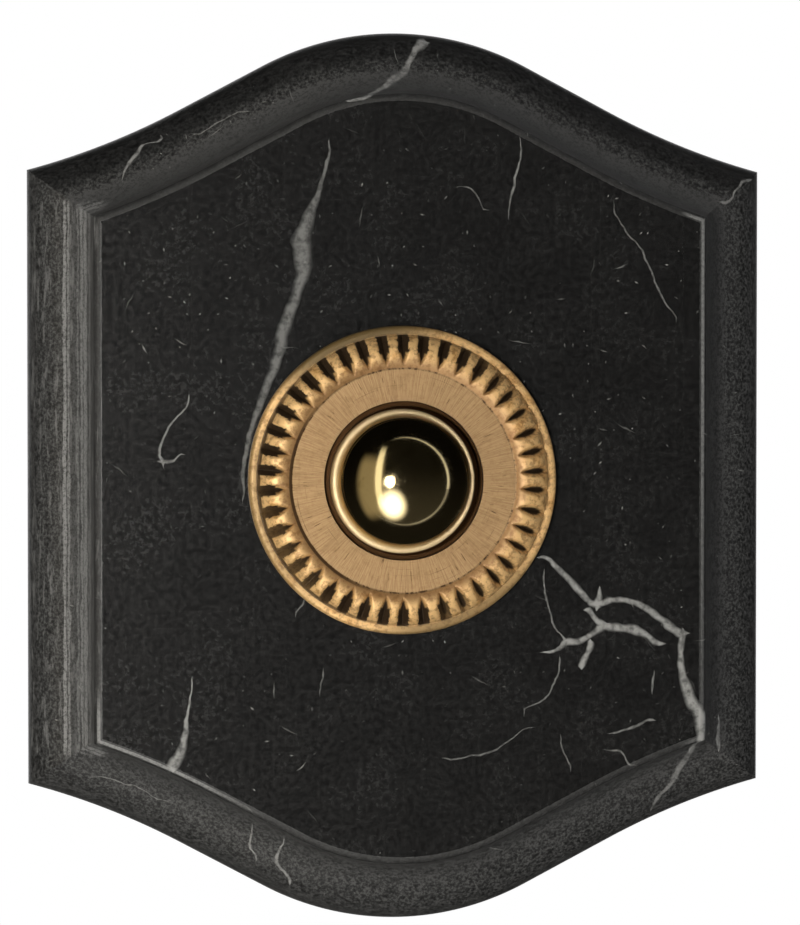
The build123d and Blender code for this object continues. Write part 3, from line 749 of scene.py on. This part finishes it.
def darkLines(tree, point, radius, inGroove, spots):  # groove, painted shade on the bead's flank, the lobes' inner ends
    look = roseLook
    seam = multiply(tree, lineRound(tree, radius, lobeInner, look["seam"], 0.08),
                    addRange(tree, spots, 0.0, 1.0, 0.35, 0.95))
    innerLine = multiply(tree, lineRound(tree, radius, lobeInner, look["innerLine"], 0.1),
                         addRange(tree, towards(tree, point, look["left"]), 5.5, 9.5, 0.0, 0.9))
    shadedFlank = multiplyAdd(tree, splitAxes(tree, point)["X"], 0.03, radius)  # painted shade on the bead's outer flank, wider on the right
    shadedFlank = addRange(tree, shadedFlank, rose["lip"] + look["shadedFlank"][0], rose["lip"] + look["shadedFlank"][1])
    shadedFlank = multiply(tree, shadedFlank, addRange(tree, radius, grooveOut + 0.05, grooveOut))
    return larger(tree, larger(tree, inGroove, shadedFlank), larger(tree, seam, innerLine))


def fluteDirtAndFootShadow(tree, point, radius, spots):
    look = roseLook
    cut = addMath(tree, "ADD", readLayer(tree, "flute"), multiply(tree, spots, 0.06))
    valley = multiplyAdd(tree, spots, 0.12, readLayer(tree, "valley"))
    caught = multiply(tree, lineRound(tree, radius, lobeFoot, look["block"], 0.3),
                      addRange(tree, valley, *look["blockValley"]))
    clean = addRange(tree, towards(tree, point, look["right"]), 5.0, 12.0, 1.0, 0.12)  # less on the right
    rubbed = addRange(tree, towards(tree, point, look["lowLeft"]), 12.0, 15.0, 1.0, 0.8)
    dirt = larger(tree, addRange(tree, cut, *look["dirtDepth"]), multiply(tree, caught, clean))
    # painted shadow in the crease at the lobes' foot, stronger on the left
    footShadow = multiply(tree, lineRound(tree, radius, lobeFoot, look["footShadow"], 0.08),
                        addRange(tree, towards(tree, point, look["left"]), 4.0, 12.0, 0.0, 0.88))
    return larger(tree, multiply(tree, dirt, rubbed), footShadow)


# darker olive on the rim: the patch at the top is painted shade where the rim faces up; the others darken it
# towards the lower right and the left
def rimShadeAndPatches(tree, point, onRim):
    patches = 0.0
    for way, ends, share in roseLook["rimPatches"]:
        patches = larger(tree, patches, addRange(tree, towards(tree, point, way), *ends, 0.0, share))
    return multiply(tree, onRim, patches)


def castBrass():
    look = roseLook
    material, tree, shader, point = startMaterial("cast brass")
    radius = addVector(tree, "LENGTH", addVector(tree, "MULTIPLY", point, (1, 0, 1)))
    place = splitAxes(tree, point)
    depth = multiply(tree, place["Y"], -1.0)
    onRing = multiply(tree, addRange(tree, radius, lobeInner + 0.1, lobeInner - 0.02),
                      addRange(tree, radius, grooveOut - 0.02, grooveOut + 0.08))
    onBead = addRange(tree, radius, beadOut + 0.1, beadOut - 0.02)
    inGroove = multiply(tree, addRange(tree, depth, rose["ring"] - 0.02, rose["ring"] - 0.3),
                        addRange(tree, radius, lobeInner, lobeInner - 0.5))
    onRim = addRange(tree, radius, lobeFoot - 0.05, lobeFoot + 0.1)
    blot = tarnishMask(tree, point, 0.55, 0.5)
    spots = tarnishMask(tree, point, 2.2, 0.62)
    rays = markLines(tree, point, look["rays"])
    base = addMix(tree, onRing, lobeBrass(tree, radius, blot, spots), satinBrass(tree, point, rays, blot))
    # paler brass on the bead, a painted sheen
    base = addMix(tree, onBead, base, look["bead"])
    base = addMix(tree, darkLines(tree, point, radius, inGroove, spots), base, look["groove"])
    base = addMix(tree, rimShadeAndPatches(tree, point, onRim), base, look["olive"])
    # grime in the flutes and a painted shadow at the lobes' foot
    base = addMix(tree, multiply(tree, fluteDirtAndFootShadow(tree, point, radius, spots), 0.97), base, look["grimeAndShadow"])
    turned = larger(tree, larger(tree, onRing, onBead), inGroove)
    metal = addRange(tree, turned, 0.0, 1.0, look["lobeMetal"], 1.0)
    dullRim = multiply(tree, onRim, addRange(tree, place["X"], -2.0, 8.0))  # worn dull on the right
    rough = addRange(tree, spots, 0.0, 1.0, look["lobeRough"], look["lobeRough"] + 0.1)
    for mask, name in ((onRing, "ringRough"), (onBead, "beadRough"), (dullRim, "rimRough")):
        rough = multiplyAdd(tree, mask, look[name] - look["lobeRough"], rough)
    dress(tree, shader, base, rough, metal)
    height = multiplyAdd(tree, rays, onRing, multiply(tree, addNoise(tree, point, 3.0, 4.0), 0.5))
    addBump(tree, shader, height, 0.22, 0.03)
    return material


rosePiece = buildRose()
rosePiece.data.materials.append(castBrass())
print("rose made,", len(rosePiece.data.polygons), "faces")


# domed button

button = dict(
    radius=6.4, domeRadius=8.4, domeBase=25.15, flangeFront=22.15, flangeBack=20.95, flange=7.2,
    stem=1.5, stemEnd=10.0, spigot=0.95, spigotEnd=9.4, segments=144, domeSteps=48, sharp=40,
)


def buildButton():
    edge = asin(button["radius"] / button["domeRadius"])
    middle = button["domeBase"] - button["domeRadius"] * cos(edge)
    profile = arcPoints((0, middle), button["domeRadius"], 90, 90 - edge * 180 / pi, button["domeSteps"])
    profile += [(button["radius"], button["flangeFront"]), (button["flange"], button["flangeFront"]),
                (button["flange"], button["flangeBack"]), (button["stem"], button["flangeBack"]),
                (button["stem"], button["stemEnd"]), (button["spigot"], button["stemEnd"]),
                (button["spigot"], button["spigotEnd"])]
    bm = bmesh.new()
    angles = evenAngles(button["segments"])
    rings = [turnedRing(bm, radius, depth, angles) for radius, depth in profile[1:]]
    joinRings(bm, rings)
    top = bm.verts.new(framePoint(0, profile[0][1], 0))
    for vert, nextVert in zip(rings[0], rings[0][1:] + rings[0][:1]):
        bm.faces.new((top, vert, nextVert))
    bm.faces.new(rings[-1])
    piece = finishMesh("domed_button", bm, button["sharp"])
    settle(piece, "push", "push_button")
    return piece


buttonLook = dict(bright=(0.66, 0.53, 0.29, 1), worn=(0.52, 0.40, 0.19, 1), rough=0.08, lines=(9.0, 1.2))


def polishedBrass():
    look = buttonLook
    material, tree, shader, point = startMaterial("polished brass")
    blot = tarnishMask(tree, point, 0.5, 0.45)
    lines = markLines(tree, point, look["lines"])
    rough = addRange(tree, lines, 0.35, 0.7, look["rough"] - 0.02, look["rough"] + 0.05)
    dress(tree, shader, addMix(tree, blot, look["bright"], look["worn"]), rough, 1.0)
    addBump(tree, shader, lines, 0.03, 0.02)
    return material


buttonPiece = buildButton()
buttonPiece.data.materials.append(polishedBrass())
print("button made")


# return spring, inside the barrel

spring = dict(radius=3.7, wire=0.35, start=13.6, end=20.55, turns=5, perTurn=44, sides=10, sharp=50,
              seat=13.2, keep=0.742)


def buildSpring():
    bm = bmesh.new()
    count = spring["turns"] * spring["perTurn"]
    rings = []
    for i in range(count + 1):
        turn = 2 * pi * i / spring["perTurn"]
        depth = spring["start"] + (spring["end"] - spring["start"]) * i / count
        ring = []
        for a in evenAngles(spring["sides"]):
            radius = spring["radius"] + spring["wire"] * cos(a)
            x, z = radius * cos(turn), radius * sin(turn)
            ring.append(bm.verts.new(framePoint(x, depth + spring["wire"] * sin(a), z)))
        rings.append(ring)
    joinRings(bm, rings)
    bm.faces.new(rings[0])
    bm.faces.new(rings[-1])
    piece = finishMesh("return_coil", bm, spring["sharp"])
    settle(piece, "plate", "return_spring")
    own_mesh(piece)
    return piece


springPiece = buildSpring()
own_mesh(nodes["contact_leaf"])
print("spring made")


# the pieces behind the stone keep their own shapes and get their finishes here

metalLooks = {
    "turned_brass": dict(
        name="turned brass", clean=(0.55, 0.38, 0.17, 1), dull=(0.34, 0.21, 0.085, 1),
        blotScale=0.35, lines=(7.0, 1.5), rough=0.3),
    "spring_steel": dict(
        name="drawn steel wire", clean=(0.40, 0.40, 0.41, 1), dull=(0.22, 0.21, 0.2, 1),
        blotScale=0.6, lines=(5.0, 1.5), rough=0.32),
    "phosphor_bronze": dict(
        name="rolled bronze strip", clean=(0.52, 0.29, 0.16, 1), dull=(0.32, 0.15, 0.07, 1),
        blotScale=0.5, lines=(6.0, 1.5), rough=0.28),
}
mouldedLooks = {
    "brown_phenolic": dict(
        name="brown moulding", clean=(0.045, 0.022, 0.014, 1), dull=(0.022, 0.011, 0.008, 1),
        grain=1.3, rough=0.34, bump=0.1),
    "red_fibre": dict(
        name="red fibre board", clean=(0.23, 0.05, 0.032, 1), dull=(0.13, 0.026, 0.018, 1),
        grain=3.2, rough=0.72, bump=0.5),
    "black_rubber": dict(
        name="black rubber", clean=(0.02, 0.02, 0.02, 1), dull=(0.035, 0.034, 0.033, 1),
        grain=2.2, rough=0.75, bump=0.35),
    "white_nylon": dict(
        name="white nylon", clean=(0.74, 0.72, 0.65, 1), dull=(0.6, 0.57, 0.49, 1),
        grain=1.2, rough=0.5, bump=0.08),
}
easedEdges = dict(contact_cap=0.22, clamp_nut=0.16, clamp_washer=0.1, fibre_washer=0.06, terminal_screws=0.12,
                  terminal_washers=0.08, terminal_nuts=0.08, guide_bush=0.1, barrel=0.1, stem_tip=0.1)
easing = dict(segments=2, sharper=40, weld=0.001)  # edges sharper than this many degrees, weld in mm


def metalFinish(look):
    material, tree, shader, point = startMaterial(look["name"])
    blot = tarnishMask(tree, point, look["blotScale"], 0.5)
    lines = markLines(tree, point, look["lines"])
    base = addMix(tree, multiply(tree, blot, 0.8), look["clean"], look["dull"])
    base = addMix(tree, addRange(tree, lines, 0.35, 0.7, 0.0, 0.35), base, look["dull"])
    rough = addRange(tree, blot, 0.0, 1.0, look["rough"], look["rough"] + 0.16)
    dress(tree, shader, base, rough, 1.0)
    addBump(tree, shader, lines, 0.25, 0.02)
    return material


def mouldedFinish(look):
    material, tree, shader, point = startMaterial(look["name"])
    grain = addNoise(tree, point, look["grain"], 5.0, 0.65)
    blot = tarnishMask(tree, point, 0.4, 0.5)
    base = addMix(tree, addRange(tree, grain, 0.3, 0.7), look["clean"], look["dull"])
    base = addMix(tree, multiply(tree, blot, 0.5), base, look["dull"])
    rough = addRange(tree, grain, 0.3, 0.7, look["rough"] - 0.06, look["rough"] + 0.08)
    dress(tree, shader, base, rough)
    addBump(tree, shader, grain, look["bump"], 0.03)
    return material


def easeEdges(piece, width):
    weld = piece.modifiers.new("weld", "WELD")
    weld.merge_threshold = easing["weld"] * mm
    ease = piece.modifiers.new("ease", "BEVEL")
    ease.width = width * mm
    ease.segments = easing["segments"]
    ease.limit_method = "ANGLE"
    ease.angle_limit = radians(easing["sharper"])


finishes = {slot: metalFinish(look) for slot, look in metalLooks.items()}
finishes.update({slot: mouldedFinish(look) for slot, look in mouldedLooks.items()})
springPiece.data.materials.append(finishes["spring_steel"])
for part in frame["record"]["subparts"]:
    piece = nodes[part["node"]]
    if piece.hide_render:  # a replaced node
        continue
    piece.data.materials.clear()
    piece.data.materials.append(finishes[part["material_slot"]])
    if part["node"] in easedEdges:
        easeEdges(piece, easedEdges[part["node"]])
print("finishes given")


# studio: white surround, pale floor, a dark hood in front with a thin gap behind it, and five lamps

studio = dict(
    fill=0.35, floorSize=8.0, floorDrop=0.75, lampDistance=0.42,
    floorPale=(0.94, 0.94, 0.935, 1), floorPaler=(0.97, 0.97, 0.965, 1), floorRough=0.8,
    hood=dict(start=0.5, end=64.2, gap=0.0, glow=(0.009, 0.05)),  # degrees from straight in front
    card=dict(start=64.0, end=150.0, gap=3.8, glow=(0.003, 0.012)),
    cardRadius=0.7, cardRings=24, cardSides=96, cardTint=(1.0, 0.95, 0.8, 1), cardSharp=60,
    gapTurn=100.0, gapBase=0.36,  # widest a little below the right
)

lamps = {  # degrees to the right and up from straight in front, size in m, share that fades, brightness
    "key": dict(shape="ELLIPSE", turn=-21, rise=-1, size=(0.077, 0.09), soft=0.6, bright=52.0,
                colour=(1.0, 0.97, 0.92)),
    "low": dict(shape="ELLIPSE", turn=-19, rise=-34, size=(0.19, 0.245), soft=0.9, bright=5.4,
                colour=(1.0, 0.98, 0.93)),
    "strip": dict(shape="RECTANGLE", turn=-38, rise=4, size=(0.05, 0.5), soft=0.45, bright=1.3,
                  colour=(1.0, 0.96, 0.82)),
    "back": dict(shape="RECTANGLE", turn=152, rise=25, size=(0.42, 0.42), soft=0.3, bright=3.0,
                 colour=(1.0, 1.0, 1.0), shine=False),
    "window": dict(shape="RECTANGLE", turn=-50, rise=-9, size=(0.2, 0.45), soft=0.5, bright=0.33,
                   colour=(1.0, 0.86, 0.58)),
}


def heading(turn, rise):  # direction out from the face
    return Vector((sin(radians(turn)) * cos(radians(rise)), -cos(radians(turn)) * cos(radians(rise)),
                   sin(radians(rise))))


def fadeLamp(data, look):  # full in the middle, nothing at the edge
    data.use_nodes = True
    tree = data.node_tree
    edge = 0.5  # a lamp is 1 across in its own coordinates
    full = edge * (1 - look["soft"])
    spot = addNode(tree, "NewGeometry").outputs["Parametric"]
    away = addVector(tree, "ABSOLUTE", addVector(tree, "SUBTRACT", spot, (edge, edge, 0)))
    if look["shape"] == "ELLIPSE":
        fade = addRange(tree, addVector(tree, "LENGTH", away), edge, full)
    else:
        sides = splitAxes(tree, away)
        fade = multiply(tree, addRange(tree, sides["X"], edge, full), addRange(tree, sides["Y"], edge, full))
    plug(tree, fade, tree.nodes["Emission"].inputs["Strength"])


def addLamp(name, look):
    way = heading(look["turn"], look["rise"])
    oval = look["shape"] == "ELLIPSE"
    grow = 1 / (1 - look["soft"] * (0.5 if oval else 1.0))  # larger, to make up for the faded edge
    width, height = look["size"][0] * grow, look["size"][1] * grow
    data = bpy.data.lights.new(name, "AREA")
    data.shape = look["shape"]
    data.size, data.size_y = width, height
    data.color = look["colour"]
    data.energy = look["bright"] * pi * width * height * (pi / 4 if oval else 1)
    fadeLamp(data, look)
    lamp = bpy.data.objects.new(name, data)
    lamp.location = Vector((0, cadLow.y, 0)) + way * studio["lampDistance"]
    lamp.rotation_mode = "QUATERNION"
    lamp.rotation_quaternion = way.to_track_quat("Z", "Y")
    lamp.visible_camera = False
    lamp.visible_glossy = look.get("shine", True)
    scene.collection.objects.link(lamp)


def shadeCard(name, look):  # part of a dark sphere round the object, seen only in reflections
    size = studio["cardRadius"]
    bm = bmesh.new()
    rings = []
    for step in np.linspace(0, 1, studio["cardRings"]):
        ring = []
        for turn in np.linspace(0, 2 * pi, studio["cardSides"], endpoint=False):
            wide = studio["gapBase"] + (1 - studio["gapBase"]) * cos(turn - radians(studio["gapTurn"]))
            first = look["start"] + look["gap"] * max(0, wide)
            angle = radians(first + (look["end"] - first) * step)
            x, z = size * sin(angle) * sin(turn), size * sin(angle) * cos(turn)
            ring.append(bm.verts.new((x, cadLow.y - size * cos(angle), z)))
        rings.append(ring)
    joinRings(bm, rings)
    card = finishMesh(name, bm, studio["cardSharp"])
    card.visible_camera = card.visible_diffuse = card.visible_shadow = card.visible_transmission = False
    material = bpy.data.materials.new(name)
    material.use_nodes = True
    tree = material.node_tree
    tree.nodes.clear()
    up = splitAxes(tree, addNode(tree, "TexCoord").outputs["Object"])["Z"]
    glow = addRange(tree, up, 0.3, -0.7, *look["glow"])  # lighter below
    light = addNode(tree, "Emission", {"Color": studio["cardTint"], "Strength": glow})
    addNode(tree, "OutputMaterial", {"Surface": light.outputs[0]})
    card.data.materials.append(material)


def buildSurround():  # white where it is seen or reflected, dimmer as a light
    world = bpy.data.worlds.new("white surround")
    scene.world = world
    world.use_nodes = True
    tree = world.node_tree
    tree.nodes.clear()
    path = addNode(tree, "LightPath").outputs
    seen = larger(tree, path["Is Camera Ray"], path["Is Glossy Ray"])
    seen = larger(tree, seen, path["Is Transmission Ray"])
    strength = addRange(tree, seen, 0.0, 1.0, studio["fill"], 1.0, smooth=False)
    light = addNode(tree, "Background", {"Color": (1, 1, 1, 1), "Strength": strength})
    addNode(tree, "OutputWorld", {"Surface": light.outputs[0]})


def buildFloor():
    half, low = studio["floorSize"] / 2, -studio["floorDrop"]
    mesh = bpy.data.meshes.new("pale floor")
    mesh.from_pydata([(-half, -half, low), (half, -half, low), (half, half, low), (-half, half, low)],
                     [], [(0, 1, 2, 3)])
    floor = bpy.data.objects.new("pale floor", mesh)
    scene.collection.objects.link(floor)
    material, tree, shader, point = startMaterial("pale floor")
    tint = addMix(tree, addNoise(tree, point, 0.004, 2.0), studio["floorPale"], studio["floorPaler"])
    dress(tree, shader, tint, studio["floorRough"])
    glow = addNode(tree, "Emission", {"Color": tint, "Strength": 1.0})
    seen = addNode(tree, "LightPath").outputs["Is Camera Ray"]
    both = addNode(tree, "MixShader", {0: seen, 1: shader.outputs["BSDF"], 2: glow.outputs[0]})
    plug(tree, both.outputs[0], tree.nodes["Material Output"].inputs["Surface"])
    mesh.materials.append(material)


buildSurround()
buildFloor()
shadeCard("front hood", studio["hood"])
shadeCard("back card", studio["card"])
for name, look in lamps.items():
    addLamp(name, look)
print("studio lit")


# camera at the photo's angle

view = dict(turn=-4.0, rise=1.6, distance=0.42, focal=182.0, sensor=36.0, pixels=(800, 925),
            middle=(402.0, 480.0))  # pixel where the axis meets the field


def addCamera():
    data = bpy.data.cameras.new("front view")
    data.lens = view["focal"]
    data.sensor_width = view["sensor"]
    data.sensor_fit = "HORIZONTAL"
    camera = bpy.data.objects.new("front view", data)
    scene.collection.objects.link(camera)
    field = Vector((0, -stone["thickness"] * mm, 0))
    way = heading(view["turn"], view["rise"])
    pixel = view["distance"] * view["sensor"] / view["focal"] / view["pixels"][0]
    facing = way.to_track_quat("Z", "Y")
    aim = Vector(((view["pixels"][0] / 2 - view["middle"][0]) * pixel,
                  (view["middle"][1] - view["pixels"][1] / 2) * pixel, 0))
    camera.location = field + way * view["distance"] + facing @ aim
    camera.rotation_mode = "QUATERNION"
    camera.rotation_quaternion = facing
    scene.camera = camera


addCamera()
scene.view_settings.view_transform = "Standard"
print("camera set")
